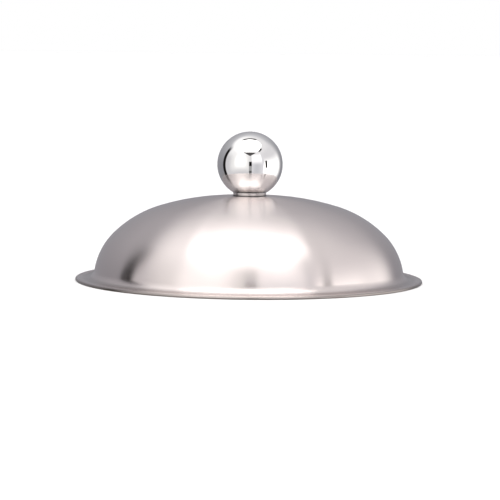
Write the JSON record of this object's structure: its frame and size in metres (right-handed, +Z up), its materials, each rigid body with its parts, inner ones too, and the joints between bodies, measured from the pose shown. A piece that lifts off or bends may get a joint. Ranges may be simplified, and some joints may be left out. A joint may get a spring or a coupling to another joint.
{
  "type": "domed dish cover",
  "caption": "Round domed dish cover in satin stainless steel, with a hemmed flat brim and a polished hollow ball knob on a short collar at the crown.",
  "frame": {"origin": "centre of the plane the cover rests on, which is the flat underside of the hem", "axes": "+Z up along the dome's own axis, through the ball knob; X and Y are any two directions across the brim"},
  "size_m": [0.26, 0.26, 0.1118],
  "materials": {
    "satin_steel": "satin, with fine turning lines around the dome",
    "polished_steel": "mirror polished stainless steel",
    "seal_rubber": "matt black",
    "plain_steel": "bright stainless fastener finish"
  },
  "bodies": {
    "root": {"dome_cover": "satin_steel", "knob_ball": "polished_steel", "neck_collar": "polished_steel", "neck_gasket": "seal_rubber", "threaded_insert": "plain_steel", "knob_screw": "plain_steel", "spring_washer": "plain_steel", "flat_washer": "plain_steel"}
  },
  "joints": []
}
